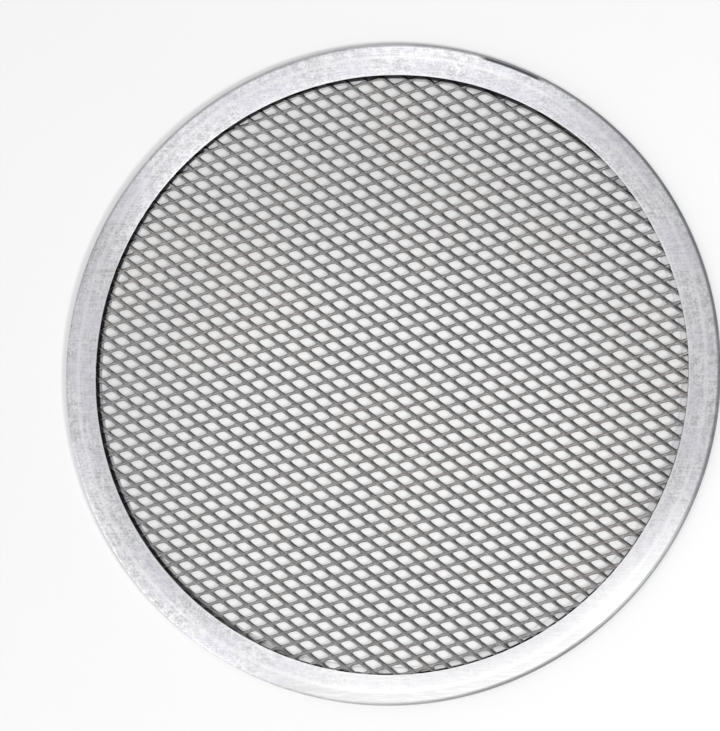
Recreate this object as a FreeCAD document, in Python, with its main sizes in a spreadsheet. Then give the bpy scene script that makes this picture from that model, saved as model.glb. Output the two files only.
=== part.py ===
import FreeCAD, Part
import math
import os

import Sketcher

# Pizza screen: a disc of expanded aluminium held in a seamless rim, which is one ring of sheet
# folded over the edge of the disc and pressed onto it. The screen lies on the bottom flange of the
# rim, with +Z up and the origin at the centre of its underside. All sizes are in millimetres.
# The openings are at twice their real pitch, and three straight faces stand for the round fold.

doc = FreeCAD.newDocument("pizza_screen")


# Driving dimensions

def make_sizes():
    """Lists every size of the screen once, with what follows from it as a formula."""
    sheet = doc.addObject("Spreadsheet::Sheet", "sizes")
    rows = [
        ("outer_diameter", "254", "over the outer fold"),
        ("top_flange_width", "12.3", "from the outer edge to the cut edge on top"),
        ("bottom_flange_width", "14.3", "from the outer edge to the cut edge below"),
        ("rim_thickness", "0.6", "sheet that the rim is folded from"),
        ("bend_inset", "5.6", "from the outer edge to where the top starts to fall"),
        ("edge_drop", "0.5", "how much lower the fold is than the top flange"),
        ("net_thickness", "1.6", "expanded sheet, over its leaning strands"),
        ("net_edge_gap", "0.6", "between the edge of the disc and the bend of the rim"),
        ("long_pitch", "20.8", "openings, along their long way"),
        ("short_pitch", "10.84", "openings, along their short way"),
        ("strand_width", "3", "across one strand, seen from above"),
        ("net_turn", "-10", "long way of the openings, in degrees from +X"),
        ("net_shift_x", "-4.7", "centre of the middle opening"),
        ("net_shift_y", "10", "centre of the middle opening"),
        ("outer_radius", "=outer_diameter / 2", ""),
        ("top_radius", "=outer_radius - top_flange_width", "cut edge of the top flange"),
        ("bottom_radius", "=outer_radius - bottom_flange_width", "cut edge of the bottom flange"),
        ("rim_height", "=net_thickness + 2 * rim_thickness", "the flanges pinch the disc"),
        ("fold_height", "=rim_height - edge_drop", "at the outer edge"),
        ("fold_cut", "=fold_height * (1 - sqrt(0.5))", "corners that make the fold half an octagon"),
        ("fold_inside", "=outer_radius - rim_thickness", "end of the hollow, from the axis"),
        ("bend_start", "=outer_radius - bend_inset", "from the axis"),
        ("net_radius", "=bend_start - net_edge_gap", "edge of the disc"),
    ]
    for number, (alias, value, note) in enumerate(rows, start=1):
        sheet.set(f"A{number}", alias.replace("_", " "))
        sheet.set(f"B{number}", value)
        sheet.set(f"C{number}", note)
        sheet.setAlias(f"B{number}", alias)
    doc.recompute()
    return sheet


sizes = make_sizes()


# Rim

def origin_plane(body, role):
    """Gives one of the body's own origin planes by its role."""
    return next(plane for plane in body.Origin.OriginFeatures if plane.Role == role)


def bind(sketch, kind, *places, name, size):
    """Adds a measured constraint to the sketch and ties it to a cell of the sheet."""
    index = sketch.addConstraint(Sketcher.Constraint(kind, *places, getattr(sizes, size)))
    sketch.renameConstraint(index, name)
    sketch.setExpression(f"Constraints.{name}", f"<<sizes>>.{size}")


def draw_profile(sketch):
    """Draws the section of the folded sheet, from the bottom flange round the fold to the top."""
    top, thick, cut = sizes.rim_height, sizes.rim_thickness, sizes.fold_cut
    fall = sizes.edge_drop / (sizes.bend_inset - cut)
    corners = [
        (sizes.bottom_radius, 0),
        (sizes.outer_radius - cut, 0),
        (sizes.outer_radius, cut),
        (sizes.outer_radius, sizes.fold_height - cut),
        (sizes.outer_radius - cut, sizes.fold_height),
        (sizes.bend_start, top),
        (sizes.top_radius, top),
        (sizes.top_radius, top - thick),
        (sizes.bend_start, top - thick),
        (sizes.fold_inside, top - thick - fall * (sizes.fold_inside - sizes.bend_start)),
        (sizes.fold_inside, thick),
        (sizes.bottom_radius, thick),
    ]
    points = [FreeCAD.Vector(radius, height, 0) for radius, height in corners]
    edges = [Part.LineSegment(first, second) for first, second in zip(points, points[1:] + points[:1])]
    (bottom, lower_cut, outside, upper_cut, slope_top, flat_top, cut_top,
     flat_under, slope_under, inside, seat, cut_bottom) = lines = sketch.addGeometry(edges, False)

    start, end = 1, 2
    for first, second in zip(lines, lines[1:] + lines[:1]):
        sketch.addConstraint(Sketcher.Constraint("Coincident", first, end, second, start))
    for flat in (bottom, flat_top, flat_under, seat):
        sketch.addConstraint(Sketcher.Constraint("Horizontal", flat))
    for upright in (outside, cut_top, inside, cut_bottom):
        sketch.addConstraint(Sketcher.Constraint("Vertical", upright))
    sketch.addConstraint(Sketcher.Constraint("Vertical", flat_top, start, flat_under, end))
    sketch.addConstraint(Sketcher.Constraint("Parallel", slope_top, slope_under))
    horizontal_axis, origin = -1, (-1, 1)
    sketch.addConstraint(Sketcher.Constraint("PointOnObject", bottom, start, horizontal_axis))

    bind(sketch, "DistanceX", *origin, bottom, start, name="bottom_edge", size="bottom_radius")
    bind(sketch, "DistanceX", *origin, outside, start, name="outer_edge", size="outer_radius")
    bind(sketch, "DistanceX", *origin, flat_top, end, name="top_edge", size="top_radius")
    bind(sketch, "DistanceX", *origin, flat_top, start, name="bend_place", size="bend_start")
    bind(sketch, "DistanceX", *origin, inside, end, name="hollow_end", size="fold_inside")
    bind(sketch, "DistanceY", *origin, flat_top, end, name="height", size="rim_height")
    bind(sketch, "DistanceY", *origin, slope_top, start, name="crown", size="fold_height")
    bind(sketch, "DistanceY", cut_top, end, cut_top, start, name="top_sheet", size="rim_thickness")
    bind(sketch, "DistanceY", *origin, seat, start, name="bottom_sheet", size="rim_thickness")
    for name, slant, inner, outer in (("lower", lower_cut, start, end), ("upper", upper_cut, end, start)):
        bind(sketch, "DistanceX", slant, inner, slant, outer, name=f"{name}_cut_across", size="fold_cut")
        bind(sketch, "DistanceY", slant, start, slant, end, name=f"{name}_cut_up", size="fold_cut")


def make_rim():
    """Turns the section of the folded sheet once round the axis."""
    body = doc.addObject("PartDesign::Body", "rim")
    body.Label = "rim"
    sketch = body.newObject("Sketcher::SketchObject", "rim_section")
    sketch.AttachmentSupport = [(origin_plane(body, "XZ_Plane"), "")]
    sketch.MapMode = "FlatFace"
    draw_profile(sketch)
    doc.recompute()
    ring = body.newObject("PartDesign::Revolution", "rim_ring")
    ring.Profile = sketch
    ring.ReferenceAxis = (sketch, ["V_Axis"])
    ring.Angle = 360
    body.Tip = ring
    return body


# Mesh

def opening(middle):
    """Lists the corners of one diamond opening, with its long way along X before the turn."""
    long_half, short_half = sizes.long_pitch / 2, sizes.short_pitch / 2
    side = math.hypot(long_half, short_half)
    row_spacing = 2 * long_half * short_half / side
    left_open = 1 - sizes.strand_width / row_spacing
    long_half, short_half = long_half * left_open, short_half * left_open
    corners = [(long_half, 0), (0, short_half), (-long_half, 0), (0, -short_half), (long_half, 0)]
    return [middle + FreeCAD.Vector(across, up, 0) for across, up in corners]


def openings():
    """Makes the openings that show inside the rim, as flat faces, each second row set over."""
    turn = FreeCAD.Rotation(FreeCAD.Vector(0, 0, 1), sizes.net_turn)
    shift = turn.inverted().multVec(FreeCAD.Vector(sizes.net_shift_x, sizes.net_shift_y, 0))
    reach = sizes.top_radius + sizes.long_pitch + shift.Length
    rows = math.ceil(2 * reach / sizes.short_pitch)
    columns = math.ceil(reach / sizes.long_pitch)
    faces = []
    for row in range(-rows, rows + 1):
        set_over = sizes.long_pitch / 2 if row % 2 else 0
        for column in range(-columns, columns + 1):
            across = column * sizes.long_pitch + set_over
            corners = opening(shift + FreeCAD.Vector(across, row * sizes.short_pitch / 2, 0))
            if min(corner.Length for corner in corners) < sizes.top_radius:
                faces.append(Part.Face(Part.makePolygon(corners)))
    return Part.makeCompound(faces)


def make_mesh():
    """Cuts the openings out of the disc, keeps what hangs together and gives it its thickness."""
    disc = Part.Face(Part.Wire(Part.makeCircle(sizes.net_radius)))
    cut = disc.cut(openings())
    net = doc.addObject("Part::Feature", "mesh_outline")
    net.Shape = max(cut.Faces, key=lambda face: face.Area)
    net.Placement.Rotation = FreeCAD.Rotation(FreeCAD.Vector(0, 0, 1), sizes.net_turn)

    mesh = doc.addObject("Part::Extrusion", "mesh")
    mesh.Label = "mesh"
    mesh.Base = net
    mesh.DirMode = "Custom"
    mesh.Dir = FreeCAD.Vector(0, 0, 1)
    mesh.Solid = True
    mesh.setExpression("LengthFwd", "<<sizes>>.net_thickness")
    mesh.setExpression("Placement.Base.z", "<<sizes>>.rim_thickness")
    return mesh


# Build, check and write

def check_document(parts):
    """Stops if any object failed or any sub-part isn't one valid solid."""
    for item in doc.Objects:
        if {"Invalid", "Error"} & set(item.State):
            raise RuntimeError(f"{item.Label} failed: {item.State}")
    for part in parts:
        if part.Shape.isNull() or not part.Shape.isValid() or len(part.Shape.Solids) != 1:
            raise RuntimeError(f"{part.Label} isn't one valid solid")


parts = [make_rim(), make_mesh()]
doc.recompute()
check_document(parts)
os.makedirs("parts", exist_ok=True)
for part in parts:
    part.Shape.exportStep(f"parts/{part.Label}.step")
    print(part.Label, round(part.Shape.Volume), "cubic mm")
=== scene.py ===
import math

import bmesh
import bpy
from mathutils import Matrix, Vector


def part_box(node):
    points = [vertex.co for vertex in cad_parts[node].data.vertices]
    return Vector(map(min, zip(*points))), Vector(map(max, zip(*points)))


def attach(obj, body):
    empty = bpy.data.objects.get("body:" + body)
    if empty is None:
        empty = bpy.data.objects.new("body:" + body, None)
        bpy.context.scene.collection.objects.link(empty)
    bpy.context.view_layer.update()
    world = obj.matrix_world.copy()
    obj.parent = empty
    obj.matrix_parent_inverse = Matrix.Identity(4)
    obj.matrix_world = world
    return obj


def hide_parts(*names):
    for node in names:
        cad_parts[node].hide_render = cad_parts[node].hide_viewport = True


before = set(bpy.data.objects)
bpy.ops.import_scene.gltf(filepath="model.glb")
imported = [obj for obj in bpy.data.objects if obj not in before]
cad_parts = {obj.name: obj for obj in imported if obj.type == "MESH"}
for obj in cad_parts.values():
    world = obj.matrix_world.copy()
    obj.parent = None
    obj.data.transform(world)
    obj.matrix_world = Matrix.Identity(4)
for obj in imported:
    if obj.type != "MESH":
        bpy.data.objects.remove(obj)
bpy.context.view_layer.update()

bl_info = {
    "name": "Pizza screen",
    "version": (1, 0, 0),
    "blender": (4, 5, 0),
    "location": "3D View > Sidebar > Screen",
    "description": "Makes the expanded mesh, the folded rim and the studio of a pizza screen",
    "category": "Mesh",
}

RIM_LOW, RIM_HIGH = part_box("rim")
NET_LOW, NET_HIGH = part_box("mesh")

# Openings, in a lattice of cells of 1 by 1 with the middle of each opening at 0, 0
CROSSING = 0.49     # a point farther out is where strands cross
AT_CORNER = 0.02    # a point this near to a diagonal is a corner of the opening
FULL_LEAN = 0.32    # a point this far up or down is at the full height of the leaning strand
# How far the corners are drawn in, which rounds the opening, and how far its upper sides are moved
END_PULL, TOP_PULL, BOTTOM_PULL = 0.84, 0.88, 0.96
UPPER_RIGHT_SIDE, UPPER_LEFT_SIDE = 0.985, 1.09
# How far round from the long way of the openings look the faces that take the metal colour,
# partly the rolled faces of the strands and partly painted shade
ROLLED_AND_SHADED_TURN = math.radians(60)

# The sheet is drawn a little out of square
SHEET_STRETCH = Matrix(((1.0019, 0.0025, 0, 0), (0.0021, 1, 0, 0), (0, 0, 1, 0), (0, 0, 0, 1)))

# Steps of the rim round the axis, and waves of its cut edges: how many, how high as a share, and
# where they start in radians
RING_STEPS = 288
TRIM_WAVES = ((3, 1.0, 0.7), (7, 0.7, 2.1), (16, 0.4, 0.0))
OFF_CENTRE_WAVES = ((1, 1.0, 2.49), (2, 0.2, -2.45), (3, 0.3, -1.35))
OFF_CENTRE_ALL_ROUND = 0.35

# Directions from the axis, seen from above
WIDE_SIDE = (-0.607, 0.795)     # the top flange is widest there
SHEEN_SIDE = (0.34, -0.94)      # the metal has an even, bright painted sheen
FOLD_SHADE_SIDE = (0.87, 0.5)    # the outer fold has painted shade, except on the other side
FOLD_PATCH_SHADE_SIDE = (0.391, 0.920)     # a short patch of painted shade lies on the fold
SHADED_SIDE = (-0.82, 0.57)     # the top flange shades the mesh

# Bands on the rim and the mesh, as distances from the axis
# The band at the cut edge of the top flange that gets a painted highlight
CUT_EDGE_GLINT_BAND = (0.1151, 0.1157)
SLOPE = (0.1203, 0.1222)
OUTER_FOLD = (0.1253, 0.1261)
FOLD_PATCH_SHADE_RADIUS = 0.1256
UNDER_TOP_FLANGE = (0.1132, 0.1138)
BEHIND_CUT_EDGE = (0.1146, 0.115)
SLOT_END = (0.1225, 0.1230)
CREASE = (0.1130, 0.1137)

# Bands of height in which the slot between the flanges begins and ends
SLOT_BOTTOM = (NET_LOW.z - 0.0003, NET_LOW.z - 0.0001)
SLOT_TOP = (NET_HIGH.z + 0.0001, NET_HIGH.z + 0.0003)

# Range of a mask that covers what lies before a band and not what lies past it
FALLING = (1.0, 0.0)

# Colours of the metal: its tints and wear, painted sheen, painted highlights and painted shade
LAVENDER = (0.78, 0.77, 0.86, 1)
# Painted sheen on one side of the rim, toned down on its slope
PAINTED_SHEEN = (0.87, 0.87, 0.87, 1)
PAINTED_SHEEN_SLOPE = (0.72, 0.72, 0.72, 1)
SCRATCHED = (0.95, 0.95, 0.95, 1)
# Painted highlight at the bend and the cut edge
PAINTED_GLINT = (0.97, 0.97, 0.97, 1)
# Painted shade on the outer fold
PAINTED_FOLD_SHADE = (0.22, 0.22, 0.23, 1)
# Painted black shade in the slot and on one patch of the fold
PAINTED_BLACK_SHADE = (0.03, 0.03, 0.035, 1)
STAINED = (0.40, 0.368, 0.344, 1)

# Floor: its size and how far it lies under the screen, in metres, then where it glows
FLOOR_HALF = 15
FLOOR_GAP = 0.00003
UNDER_MESH = (0.113, 0.116)
SHADE_UNDER_MESH = 0.73
GLOW_MIDDLE = (0, -0.04, 0)
GLOW_SPREAD, GLOW_MORE = (0.055, 0.125), 0.13
FAR_FLOOR, FAR_GLOW = (0.9, 2.2), 0.62

# Place and size in metres of the large soft box above and of the light at the lower right
OVERHEAD_BOX = ((0.0, 0.0, 1.9), (2.8, 2.8))
KEY_LIGHT = ((1.38, -0.80, 1.2), (0.4, 0.4))

# Soft boxes round the screen: name, direction and height in degrees, size in metres, watts
SOFT_BOXES = (
    ("front_high", -90, 65, (1.4, 0.6), 9.0),
    ("front_low", -90, 19, (2.0, 1.1), 3.8),
    ("front_right", -40, 45, (0.9, 0.9), 11.3),
    ("front_left", -140, 45, (0.9, 0.9), 4.0),
    ("left_low", -150, 19, (2.0, 1.1), 13.5),
    ("left", 180, 45, (1.2, 0.7), 3.5),
    ("right", 0, 45, (1.2, 0.7), 2.2),
    ("back", 90, 45, (0.9, 0.9), 6.3),
    ("back_low", 120, 19, (2.0, 1.1), 14.0),
)
SOFT_BOX_DISTANCE = 2.3


# Sizes and colours

class ScreenNet(bpy.types.PropertyGroup):
    long_pitch: bpy.props.FloatProperty(
        name="Long pitch", description="Pitch of the openings along their long way",
        default=0.010406, unit="LENGTH")
    short_pitch: bpy.props.FloatProperty(
        name="Short pitch", description="Pitch of the openings along their short way",
        default=0.005424, unit="LENGTH")
    strand_width: bpy.props.FloatProperty(
        name="Strand width", description="Width of one strand in plan",
        default=0.00116, unit="LENGTH")
    sheet: bpy.props.FloatProperty(
        name="Sheet", description="Thickness of the expanded sheet",
        default=0.0006, unit="LENGTH")
    lean: bpy.props.FloatProperty(
        name="Lean", description="How far the edges of a strand stand above and below its middle",
        default=0.0006, unit="LENGTH")
    turn: bpy.props.FloatProperty(
        name="Turn", description="Direction of the long way, from the X axis",
        default=math.radians(-10), subtype="ANGLE")
    middle: bpy.props.FloatVectorProperty(
        name="Middle opening", description="Centre of one opening",
        size=2, default=(-0.0045, 0.0098), unit="LENGTH")
    edge: bpy.props.FloatProperty(
        name="Edge", description="Radius at which the net ends, out of sight inside the rim",
        default=0.117, unit="LENGTH")
    # Faces that look one way take Metal, the rest Sheared metal: partly real, partly painted shade
    metal: bpy.props.FloatVectorProperty(
        name="Metal", description="Colour of the rolled faces of the strands",
        size=3, default=(0.305, 0.3, 0.298), subtype="COLOR")
    sheared: bpy.props.FloatVectorProperty(
        name="Sheared metal", description="Colour of the cut edges of the strands",
        size=3, default=(0.31, 0.305, 0.303), subtype="COLOR")


class ScreenRim(bpy.types.PropertyGroup):
    top_edge: bpy.props.FloatProperty(
        name="Top edge", description="Radius of the cut edge of the top flange",
        default=0.1147, unit="LENGTH")
    bottom_edge: bpy.props.FloatProperty(
        name="Bottom edge", description="Radius of the cut edge of the bottom flange",
        default=0.1127, unit="LENGTH")
    bend: bpy.props.FloatProperty(
        name="Bend", description="Radius at which the top flange starts to fall",
        default=0.1216, unit="LENGTH")
    fall: bpy.props.FloatProperty(
        name="Fall", description="How much lower the fold is than the top flange",
        default=0.0005, unit="LENGTH")
    sheet: bpy.props.FloatProperty(
        name="Sheet", description="Thickness of the rim's sheet",
        default=NET_LOW.z - RIM_LOW.z, unit="LENGTH")
    off_centre: bpy.props.FloatProperty(
        name="Off centre", description="How far off centre the cut edge of the top flange runs",
        default=0.0005, unit="LENGTH")
    wobble: bpy.props.FloatProperty(
        name="Wobble", description="How unevenly the flanges are trimmed",
        default=0.00006, unit="LENGTH")
    metal: bpy.props.FloatVectorProperty(
        name="Metal", description="Colour of the rim",
        size=3, default=(0.86, 0.86, 0.885), subtype="COLOR")


class ScreenStage(bpy.types.PropertyGroup):
    floor: bpy.props.FloatVectorProperty(
        name="Floor", description="Colour of the floor",
        size=3, default=(0.55, 0.55, 0.55), subtype="COLOR")
    glow: bpy.props.FloatProperty(
        name="Glow", description="Light that the floor gives of its own, as a light table does",
        default=0.165)
    glow_inside: bpy.props.FloatProperty(
        name="Glow inside", description="How much brighter the floor glows under the mesh",
        default=0.135)
    ambient: bpy.props.FloatProperty(
        name="Ambient", description="Brightness of the room",
        default=0.15)
    overhead: bpy.props.FloatProperty(
        name="Overhead", description="Power of the large soft box above",
        default=14.9, unit="POWER")
    around: bpy.props.FloatProperty(
        name="Around",
        description="Share of their usual power that the boxes round the screen have",
        default=1.0)
    key: bpy.props.FloatProperty(
        name="Key", description="Power of the light at the lower right",
        default=26.0, unit="POWER")


class ScreenSettings(bpy.types.PropertyGroup):
    net: bpy.props.PointerProperty(
        type=ScreenNet, name="Net", description="Sizes and colour of the expanded mesh")
    rim: bpy.props.PointerProperty(
        type=ScreenRim, name="Rim", description="Sizes and colour of the folded rim")
    stage: bpy.props.PointerProperty(
        type=ScreenStage, name="Stage", description="Floor and lights")


# Materials

def start_material(name, metal, roughness):
    """Makes a metal with simple values, which show where its nodes aren't run, and its shader."""
    material = bpy.data.materials.new(name)
    material.use_nodes = True
    material.diffuse_color = (*metal, 1)
    shader = material.node_tree.nodes["Principled BSDF"]
    shader.inputs["Metallic"].default_value = 1
    shader.inputs["Base Color"].default_value = (*metal, 1)
    shader.inputs["Roughness"].default_value = roughness
    return material, shader


def add(material, kind, inputs=(), **settings):
    """Adds a node, sets it up and joins or fills its inputs."""
    tree = material.node_tree
    node = tree.nodes.new(kind)
    for name, value in settings.items():
        setattr(node, name, value)
    for socket, value in dict(inputs).items():
        if isinstance(value, bpy.types.NodeSocket):
            tree.links.new(value, node.inputs[socket])
        else:
            node.inputs[socket].default_value = value
    return node


def join(material, shader, results):
    """Joins each result to the socket of the main shader that it is for."""
    for socket, result in results.items():
        material.node_tree.links.new(result, shader.inputs[socket])


def maths(material, operation, first, second=0.0, third=0.0):
    """Gives what comes out of one, two or three numbers."""
    node = add(material, "ShaderNodeMath", {0: first, 1: second, 2: third}, operation=operation)
    return node.outputs[0]


def product(material, first, *others):
    """Multiplies numbers."""
    for other in others:
        first = maths(material, "MULTIPLY", first, other)
    return first


def vector_maths(material, operation, first, second=(0, 0, 0), output="Vector"):
    """Gives what comes out of one or two vectors."""
    node = add(material, "ShaderNodeVectorMath", {0: first, 1: second}, operation=operation)
    return node.outputs[output]


def towards(material, vector, direction):
    """Gives how far a vector reaches in a level direction."""
    return vector_maths(material, "DOT_PRODUCT", vector, (*direction, 0), output="Value")


def noise(material, vector, scale, detail=2.0, rough=0.5):
    """Adds a noise and gives its value."""
    node = add(material, "ShaderNodeTexNoise",
               {"Vector": vector, "Scale": scale, "Detail": detail, "Roughness": rough})
    return node.outputs["Fac"]


def between(material, value, span, result=(0.0, 1.0)):
    """Spreads one range of a number smoothly over another."""
    node = add(material, "ShaderNodeMapRange",
               {"Value": value, "From Min": span[0], "From Max": span[1],
                "To Min": result[0], "To Max": result[1]},
               interpolation_type="SMOOTHSTEP")
    return node.outputs["Result"]


def off(material, value, middle):
    """Gives how far a number is from another."""
    return maths(material, "ABSOLUTE", maths(material, "SUBTRACT", value, middle))


def blend_colours(material, amount, first, second):
    """Mixes two colours by an amount."""
    node = add(material, "ShaderNodeMix", {0: amount, 6: first, 7: second}, data_type="RGBA")
    return node.outputs[2]


def shade(colour, factor):
    """Makes a colour lighter or darker."""
    return (*(min(1.0, channel * factor) for channel in colour), 1)


def scratches(material, place, turn, length, width, share):
    """Adds thin straight marks that all run one way, as a mask."""
    mapped = add(material, "ShaderNodeMapping",
                 {"Vector": place, "Rotation": (0, 0, turn),
                  "Scale": (1 / length, 1 / width, 1 / length)})
    marks = noise(material, mapped.outputs[0], 1.0, detail=1.0)
    return between(material, marks, (share, share + 0.05))


def painted_sheen_mask(material, outward):
    """Covers the side of the rim that gets an even, bright painted sheen."""
    return between(material, towards(material, outward, SHEEN_SIDE), (0.6, 0.95), (0.0, 0.7))


def fold_shade_mask(material, radius, outward):
    """Covers the outer fold with painted shade, except on the side away from its dark one."""
    side = between(material, towards(material, outward, FOLD_SHADE_SIDE), (-0.8, -0.1))
    return product(material, side, between(material, radius, OUTER_FOLD, (0.0, 0.72)))


def fold_patch_shade_mask(material, radius, outward):
    """Covers one short patch of painted shade on the outer fold."""
    side = between(material, towards(material, outward, FOLD_PATCH_SHADE_SIDE), (0.9936, 0.9965))
    away = off(material, radius, FOLD_PATCH_SHADE_RADIUS)
    return product(material, side, between(material, away, (0.0003, 0.0008), (0.9, 0.0)))


def slot_shade_mask(material, place, radius):
    """Covers with painted shade the slot between the flanges, and before it the bottom flange on
    the shaded side.
    """
    height = add(material, "ShaderNodeSeparateXYZ", {0: place}).outputs[2]
    shaded = between(material, towards(material, place, SHADED_SIDE), (-0.06, 0.02))
    before = product(material, shaded, between(material, radius, UNDER_TOP_FLANGE, (0.4, 1.0)))
    inside = maths(material, "MAXIMUM", before, between(material, radius, BEHIND_CUT_EDGE))
    return product(material, inside, between(material, height, SLOT_TOP, FALLING),
                   between(material, height, SLOT_BOTTOM),
                   between(material, radius, SLOT_END, FALLING))


def rim_material(rim):
    """Rolled aluminium: brushed round the ring, mottled and scratched, with a smoother bend.

    Painted highlights run along the bend and along the cut edge of the top flange. One side has
    an even, bright painted sheen, the outer fold is darker with painted shade and has one short
    patch of painted shade, and the slot between the flanges is painted black as shade.
    """
    material, shader = start_material("rim_aluminium", rim.metal, 0.34)
    place = add(material, "ShaderNodeTexCoord").outputs["Object"]
    flat = vector_maths(material, "MULTIPLY", place, (1, 1, 0))
    radius = vector_maths(material, "LENGTH", flat, output="Value")
    outward = vector_maths(material, "NORMALIZE", flat)
    spokes = add(material, "ShaderNodeSeparateXYZ", {0: outward})

    def round_ring(stretch):
        """Gives a place on the ring whose third part is the radius, many times enlarged."""
        deep = product(material, radius, stretch)
        return add(material, "ShaderNodeCombineXYZ",
                   {0: spokes.outputs[0], 1: spokes.outputs[1], 2: deep}).outputs[0]

    # Brushing, mottling and scratches
    brushed = noise(material, round_ring(380), 9.0, detail=4.0, rough=0.62)
    grain = noise(material, round_ring(150), 60.0, detail=2.0)
    mottle = noise(material, place, 330.0, detail=5.0, rough=0.66)
    flecks = noise(material, place, 1100.0, detail=3.0, rough=0.6)
    patches = noise(material, place, 60.0, detail=3.0)
    rubbed = maths(material, "MAXIMUM",
                   scratches(material, place, 0.55, 0.012, 0.0005, 0.57),
                   scratches(material, place, -0.8, 0.010, 0.0004, 0.59))

    # Painted highlights at the bend, which is also a little smoother, and at the cut edge
    # of the top flange
    bend_polish_and_glint = between(material, off(material, radius, rim.bend), (0.0002, 0.0011), FALLING)
    from_edge = maths(material, "MULTIPLY_ADD", towards(material, outward, WIDE_SIDE),
                      rim.off_centre, radius)
    cut_edge_glint = between(material, from_edge, CUT_EDGE_GLINT_BAND, FALLING)
    painted_glints = maths(material, "MAXIMUM", product(material, bend_polish_and_glint, 0.45),
                 product(material, cut_edge_glint, 0.6))
    sheen = painted_sheen_mask(material, outward)

    # Colour: each layer covers those before it
    tone = maths(material, "MULTIPLY_ADD", brushed, 0.25, product(material, mottle, 0.4))
    tone = maths(material, "MULTIPLY_ADD", flecks, 0.35, tone)
    base = blend_colours(material, between(material, tone, (0.395, 0.605)),
                         shade(rim.metal, 0.62), shade(rim.metal, 1.12))
    for amount, colour in (
            (between(material, patches, (0.4, 0.62), (0.0, 0.45)), LAVENDER),
            (sheen, PAINTED_SHEEN),
            (product(material, sheen, between(material, radius, SLOPE)), PAINTED_SHEEN_SLOPE),
            (product(material, rubbed, 0.4), SCRATCHED),
            (painted_glints, PAINTED_GLINT),
            (fold_shade_mask(material, radius, outward), PAINTED_FOLD_SHADE),
            (fold_patch_shade_mask(material, radius, outward), PAINTED_BLACK_SHADE),
            (slot_shade_mask(material, place, radius), PAINTED_BLACK_SHADE)):
        base = blend_colours(material, amount, base, colour)

    dull = maths(material, "MULTIPLY_ADD", mottle, 0.2, 0.3)
    dull = maths(material, "MULTIPLY_ADD", bend_polish_and_glint, -0.05, dull)
    height = maths(material, "MULTIPLY_ADD", grain, 0.5, brushed)
    bump = add(material, "ShaderNodeBump",
               {"Strength": 0.25, "Distance": 0.00004, "Height": height})
    join(material, shader, {"Base Color": base, "Roughness": dull,
                            "Normal": bump.outputs[0], "Tangent": outward})
    shader.inputs["Anisotropic"].default_value = 0.9
    return material


def crease_shade_mask(material, place):
    """Covers with painted shade the crease under the top flange on the shaded side."""
    flat = vector_maths(material, "MULTIPLY", place, (1, 1, 0))
    radius = vector_maths(material, "LENGTH", flat, output="Value")
    shaded = between(material, towards(material, place, SHADED_SIDE), (-0.06, 0.03))
    return product(material, between(material, radius, CREASE, (0.0, 0.85)), shaded)


def joint_dirt_and_shade_mask(material, net, place):
    """Covers the bonds where strands join, and more lightly, as painted shade, the strands that
    fall to the right.
    """
    def off_line(row):
        """Gives how far a place is from the middle line of the nearest strand of one family."""
        along = maths(material, "ADD", towards(material, place, row[:2]), row[3])
        return off(material, maths(material, "FRACT", along), 0.5)

    grid = lattice_matrix(net).inverted()
    falling, rising = off_line(grid[0]), off_line(grid[1])
    from_bond = maths(material, "MAXIMUM", falling, rising)
    # Darker bonds, and painted shade on the strands that fall to the right
    return maths(material, "MAXIMUM", between(material, from_bond, (0.08, 0.2), (0.25, 0.0)),
                 between(material, falling, (0.08, 0.17), (0.13, 0.0)))


def net_material(net):
    """Sheared aluminium strands: grey, finely pitted, a little stained.

    They are darker where strands join. Painted shade darkens, a little, the faces that look one
    way and the strands that fall to the right, and more the crease under the top flange.
    """
    material, shader = start_material("strand_aluminium", net.metal, 0.42)
    coordinates = add(material, "ShaderNodeTexCoord")
    place, facing = coordinates.outputs["Object"], coordinates.outputs["Normal"]
    pits = noise(material, place, 2600.0, detail=2.0)
    handling = noise(material, place, 420.0, detail=3.0, rough=0.6)
    stain = noise(material, place, 16.0, detail=2.0)

    # Faces that look one way take the metal colour: partly rolled faces, partly painted shade
    turn = net.turn + ROLLED_AND_SHADED_TURN
    rolled = between(material, towards(material, facing, (math.cos(turn), math.sin(turn))),
                     (-0.3, 0.7))
    base = blend_colours(material, rolled, (*net.sheared, 1), (*net.metal, 1))
    base = blend_colours(material, between(material, stain, (0.45, 0.65), (0.0, 0.25)),
                         base, STAINED)
    tone = maths(material, "ADD", product(material, pits, 0.5), product(material, handling, 0.5))
    # Pits and handling; then painted shade in the crease and on falling strands, and darker bonds
    grime_and_shade = between(material, tone, (0.36, 0.64), (0.68, 1.3))
    for mask in (crease_shade_mask(material, place), joint_dirt_and_shade_mask(material, net, place)):
        grime_and_shade = product(material, grime_and_shade, maths(material, "SUBTRACT", 1.0, mask))
    base = add(material, "ShaderNodeVectorMath", {0: base, "Scale": grime_and_shade},
               operation="SCALE").outputs[0]

    dull = maths(material, "MULTIPLY_ADD", handling, 0.3, 0.28)
    bump = add(material, "ShaderNodeBump",
               {"Strength": 0.4, "Distance": 0.00003, "Height": pits})
    join(material, shader, {"Base Color": base, "Roughness": dull, "Normal": bump.outputs[0]})
    return material


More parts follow.
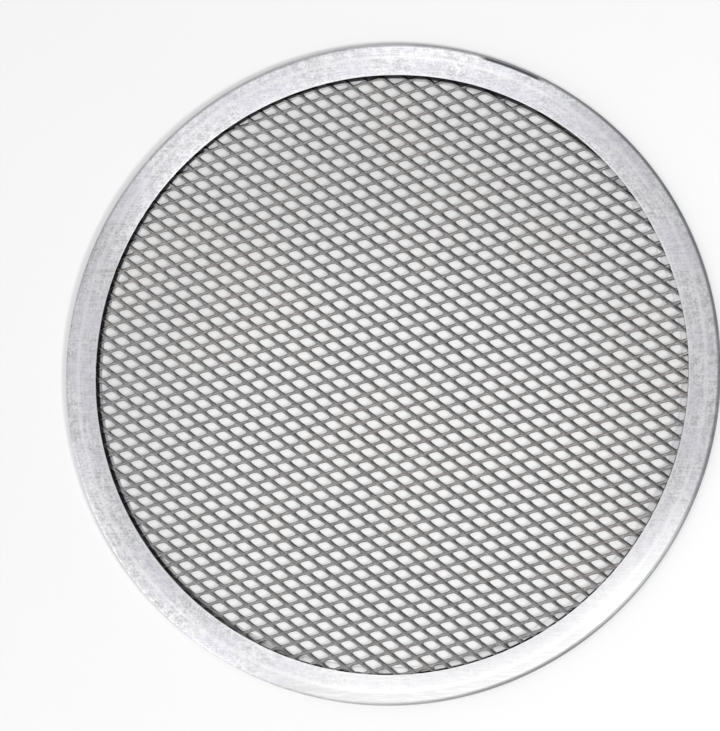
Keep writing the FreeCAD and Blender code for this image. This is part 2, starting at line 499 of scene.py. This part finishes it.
def floor_material(stage):
    """Pale board, lit a little from below, and more so under the mesh and far away."""
    material, shader = start_material("pale_board", stage.floor, 0.8)
    shader.inputs["Metallic"].default_value = 0
    shader.inputs["Specular IOR Level"].default_value = 0.1
    shader.inputs["Emission Color"].default_value = (1, 1, 1, 1)
    place = add(material, "ShaderNodeTexCoord").outputs["Object"]
    apart = vector_maths(material, "DISTANCE", place, GLOW_MIDDLE, output="Value")
    radius = vector_maths(material, "LENGTH", place, output="Value")

    under = between(material, radius, UNDER_MESH, FALLING)
    more = between(material, apart, GLOW_SPREAD, (GLOW_MORE, 0.0))
    inside = product(material, under, maths(material, "ADD", more, stage.glow_inside))
    far = between(material, radius, FAR_FLOOR, (0.0, FAR_GLOW))
    glow = maths(material, "ADD", maths(material, "ADD", inside, far), stage.glow)

    fleck = noise(material, place, 9.0, detail=3.0)
    tone = blend_colours(material, fleck, shade(stage.floor, 0.985), shade(stage.floor, 1.015))
    tone = blend_colours(material, under, tone, shade(stage.floor, SHADE_UNDER_MESH))
    join(material, shader, {"Emission Strength": glow, "Base Color": tone})
    return material


# Building

def keep_piece(bm, name, material, node):
    """Makes an object of the finished bmesh, rides it on the one body and replaces a CAD node."""
    mesh = bpy.data.meshes.new(name)
    bm.to_mesh(mesh)
    bm.free()
    mesh.shade_smooth()
    mesh.materials.append(material)
    piece = bpy.data.objects.new(name, mesh)
    bpy.context.scene.collection.objects.link(piece)
    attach(piece, "root")
    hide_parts(node)
    return piece


def lattice_matrix(net):
    """Turns a grid of unit squares into the diamond lattice of openings."""
    half_long, half_short = net.long_pitch / 2, net.short_pitch / 2
    shear = Matrix(((half_long, -half_long, 0, 0), (half_short, half_short, 0, 0),
                    (0, 0, 1, 0), (0, 0, 0, 1)))
    middle = Vector((*net.middle, (NET_LOW.z + NET_HIGH.z) / 2))
    return (SHEET_STRETCH @ Matrix.Translation(middle)
            @ Matrix.Rotation(net.turn, 4, "Z") @ shear)


def lean_strands(bm, net, lattice):
    """Rounds each opening and leans its strands, so that its top stands high and its bottom low."""
    inverse = lattice.inverted()
    for corner in bm.verts:
        place = inverse @ corner.co
        cell = Vector((round(place.x), round(place.y), 0))
        u, v = place.x - cell.x, place.y - cell.y
        reach = max(abs(u), abs(v))
        if reach > CROSSING:
            continue
        lean = max(-1.0, min(1.0, (u + v) / FULL_LEAN))
        if abs(abs(u) - abs(v)) < AT_CORNER * reach:
            if u * v < 0:
                pull = END_PULL
            else:
                pull = TOP_PULL if u > 0 else BOTTOM_PULL
            u, v = u * pull, v * pull
        u *= UPPER_RIGHT_SIDE if u > 0 else 1.0
        v *= UPPER_LEFT_SIDE if v > 0 else 1.0
        corner.co = lattice @ (cell + Vector((u, v, 0)))
        corner.co.z += net.lean * lean


def waves(angle, rows):
    """Adds up waves round the ring at one angle."""
    return sum(height * math.sin(count * angle + start) for count, height, start in rows)


class PIZZA_SCREEN_OT_net(bpy.types.Operator):
    """Make the expanded mesh: leaning strands round diamond openings, all one sheet"""
    bl_idname = "pizza_screen.net"
    bl_label = "Expanded mesh"

    def execute(self, context):
        net = context.scene.pizza_screen.net
        lattice = lattice_matrix(net)
        bm = bmesh.new()
        # One square for each opening: an odd number puts the middle one at the centre
        cells = 2 * math.ceil(net.edge / net.short_pitch + net.edge / net.long_pitch) + 1
        bmesh.ops.create_grid(bm, x_segments=cells, y_segments=cells, size=cells / 2)
        bmesh.ops.transform(bm, matrix=lattice, verts=bm.verts)

        def beyond(face, radius):
            return face.calc_center_median().xy.length > radius

        far = [face for face in bm.faces if beyond(face, net.edge + net.long_pitch)]
        bmesh.ops.delete(bm, geom=far, context="FACES")

        # The inset leaves the strands round each opening, and two more points a side round it
        crossings = set(bm.verts)
        openings = bm.faces[:]
        bmesh.ops.inset_individual(bm, faces=openings, thickness=net.strand_width / 2,
                                   use_even_offset=True)
        bmesh.ops.delete(bm, geom=openings, context="FACES_ONLY")
        sides = [edge for edge in bm.edges
                 if (edge.verts[0] in crossings) == (edge.verts[1] in crossings)]
        bmesh.ops.subdivide_edges(bm, edges=sides, cuts=2)
        lean_strands(bm, net, lattice)
        hidden = [face for face in bm.faces if beyond(face, net.edge)]
        bmesh.ops.delete(bm, geom=hidden, context="FACES")
        bmesh.ops.recalc_face_normals(bm, faces=bm.faces)
        piece = keep_piece(bm, "expanded_mesh", net_material(net), "mesh")

        wall = piece.modifiers.new("Sheet", "SOLIDIFY")
        wall.thickness = net.sheet
        wall.offset = 0
        edges = piece.modifiers.new("Sheared edges", "BEVEL")
        edges.width = net.sheet * 0.2
        edges.segments = 1
        edges.limit_method = "ANGLE"
        edges.angle_limit = math.radians(55)
        return {"FINISHED"}


class PIZZA_SCREEN_OT_rim(bpy.types.Operator):
    """Make the rim: one ring of sheet folded over the edge of the mesh and pressed flat"""
    bl_idname = "pizza_screen.rim"
    bl_label = "Folded rim"

    def execute(self, context):
        rim = context.scene.pizza_screen.rim
        corners = self.section(rim)
        bm = bmesh.new()
        points = [bm.verts.new((radius, 0, height)) for (radius, height), _, _ in corners]
        bm.faces.new(points)
        for point, (_, rounding, segments) in zip(points, corners):
            bmesh.ops.bevel(bm, geom=[point], offset=rounding, offset_type="OFFSET",
                            segments=segments, profile=0.5, affect="VERTICES", material=-1)
        bmesh.ops.delete(bm, geom=bm.faces[:], context="FACES_ONLY")
        bmesh.ops.spin(bm, geom=bm.verts[:] + bm.edges[:], cent=(0, 0, 0), axis=(0, 0, 1),
                       angle=2 * math.pi, steps=RING_STEPS, use_merge=True)
        bmesh.ops.remove_doubles(bm, verts=bm.verts, dist=1e-6)
        self.press(bm, rim)
        bmesh.ops.recalc_face_normals(bm, faces=bm.faces)
        keep_piece(bm, "folded_rim", rim_material(rim), "rim")
        return {"FINISHED"}

    def section(self, rim):
        """Lists each corner of the folded sheet, how far it is rounded and in how many segments."""
        outer, top = min(RIM_HIGH.x, -RIM_LOW.x), RIM_HIGH.z
        crown = top - rim.fall
        fold = crown / 2 * 0.98
        hollow = top - rim.sheet
        hollow_end, hollow_fall = outer - rim.sheet, rim.fall * 0.85
        return [
            ((rim.bottom_edge, 0), 0.00012, 2),
            ((outer, 0), fold, 7),
            ((outer, crown), fold, 7),
            ((rim.bend, top), 0.0014, 6),
            ((rim.top_edge, top), 0.00018, 3),
            ((rim.top_edge, hollow), 0.0001, 1),
            ((rim.bend, hollow), 0.0003, 1),
            ((hollow_end, hollow - hollow_fall), 0.0002, 2),
            ((hollow_end, rim.sheet), 0.0002, 2),
            ((rim.bottom_edge, rim.sheet), 0.00012, 2),
        ]

    def press(self, bm, rim):
        """Makes the cut edges run a little unevenly, and the top one off centre."""
        top_flange = NET_HIGH.z - 0.0001
        for point in bm.verts:
            radius = point.co.xy.length
            angle = math.atan2(point.co.y, point.co.x)
            uneven = rim.wobble * waves(angle, TRIM_WAVES)
            if point.co.z > top_flange:
                uneven += rim.off_centre * (OFF_CENTRE_ALL_ROUND + waves(angle, OFF_CENTRE_WAVES))
            free = max(0.0, min(1.0, (rim.bend - radius) / (rim.bend - rim.top_edge)))
            stretch = (radius + uneven * free) / radius
            point.co.x *= stretch
            point.co.y *= stretch


class PIZZA_SCREEN_OT_stage(bpy.types.Operator):
    """Make the pale floor, the soft studio lights and the camera"""
    bl_idname = "pizza_screen.stage"
    bl_label = "Studio"

    def execute(self, context):
        stage = context.scene.pizza_screen.stage
        scene = context.scene
        scene.view_settings.view_transform = "Standard"

        bm = bmesh.new()
        bmesh.ops.create_grid(bm, x_segments=8, y_segments=8, size=FLOOR_HALF)
        bmesh.ops.translate(bm, vec=(0, 0, -FLOOR_GAP), verts=bm.verts)
        mesh = bpy.data.meshes.new("floor")
        bm.to_mesh(mesh)
        bm.free()
        mesh.materials.append(floor_material(stage))
        floor = bpy.data.objects.new("floor", mesh)
        scene.collection.objects.link(floor)

        world = bpy.data.worlds.new("room")
        world.use_nodes = True
        backdrop = world.node_tree.nodes["Background"]
        backdrop.inputs["Color"].default_value = (0.98, 0.98, 1.0, 1)
        backdrop.inputs["Strength"].default_value = stage.ambient
        scene.world = world

        self.light("overhead", *OVERHEAD_BOX, stage.overhead)
        for name, azimuth, height, size, power in SOFT_BOXES:
            turn = (Matrix.Rotation(math.radians(azimuth), 3, "Z")
                    @ Matrix.Rotation(-math.radians(height), 3, "Y"))
            place = turn @ Vector((SOFT_BOX_DISTANCE, 0, 0))
            self.light(name, place, size, power * stage.around)
        key = self.light("key", *KEY_LIGHT, stage.key)
        key.visible_glossy = False
        self.camera()
        return {"FINISHED"}

    def light(self, name, place, size, power):
        """Hangs one soft box that faces the screen."""
        lamp = bpy.data.lights.new(name, "AREA")
        lamp.shape = "RECTANGLE"
        lamp.size, lamp.size_y = size
        lamp.energy = power
        box = bpy.data.objects.new(name, lamp)
        box.location = place
        box.rotation_euler = Vector(place).to_track_quat("Z", "Y").to_euler()
        bpy.context.scene.collection.objects.link(box)
        return box

    def camera(self):
        """Sets the camera where the photograph's was: above, towards the lower right."""
        place = Vector((0.18159, -0.10023, 1.03026))
        aim = Vector((-0.010456, 0.002439, 0))
        ahead = (aim - place).normalized()
        right = ahead.cross((0, 1, 0)).normalized()
        up = right.cross(ahead)
        turn = Matrix((right, up, -ahead)).transposed().to_4x4()
        lens = bpy.data.cameras.new("camera")
        lens.sensor_width = 36
        lens.lens = 135.33
        lens.clip_start, lens.clip_end = 0.05, 50
        camera = bpy.data.objects.new("camera", lens)
        camera.matrix_world = Matrix.Translation(place) @ turn
        bpy.context.scene.collection.objects.link(camera)
        bpy.context.scene.camera = camera


class PIZZA_SCREEN_PT_sidebar(bpy.types.Panel):
    """Lists the pieces of the pizza screen"""
    bl_idname = "PIZZA_SCREEN_PT_sidebar"
    bl_label = "Pizza screen"
    bl_space_type = "VIEW_3D"
    bl_region_type = "UI"
    bl_category = "Screen"

    def draw(self, context):
        settings = context.scene.pizza_screen
        for group, operator in ((settings.net, "pizza_screen.net"),
                                (settings.rim, "pizza_screen.rim"),
                                (settings.stage, "pizza_screen.stage")):
            box = self.layout.box()
            for name in group.__annotations__:
                box.prop(group, name)
            box.operator(operator)


CLASSES = (ScreenNet, ScreenRim, ScreenStage, ScreenSettings,
           PIZZA_SCREEN_OT_net, PIZZA_SCREEN_OT_rim, PIZZA_SCREEN_OT_stage,
           PIZZA_SCREEN_PT_sidebar)


def register():
    for item in CLASSES:
        bpy.utils.register_class(item)
    bpy.types.Scene.pizza_screen = bpy.props.PointerProperty(type=ScreenSettings)


def unregister():
    del bpy.types.Scene.pizza_screen
    for item in reversed(CLASSES):
        bpy.utils.unregister_class(item)


def main():
    """Registers the add-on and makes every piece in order."""
    register()
    bpy.ops.pizza_screen.stage()
    bpy.ops.pizza_screen.rim()
    bpy.ops.pizza_screen.net()


if __name__ == "__main__":
    main()
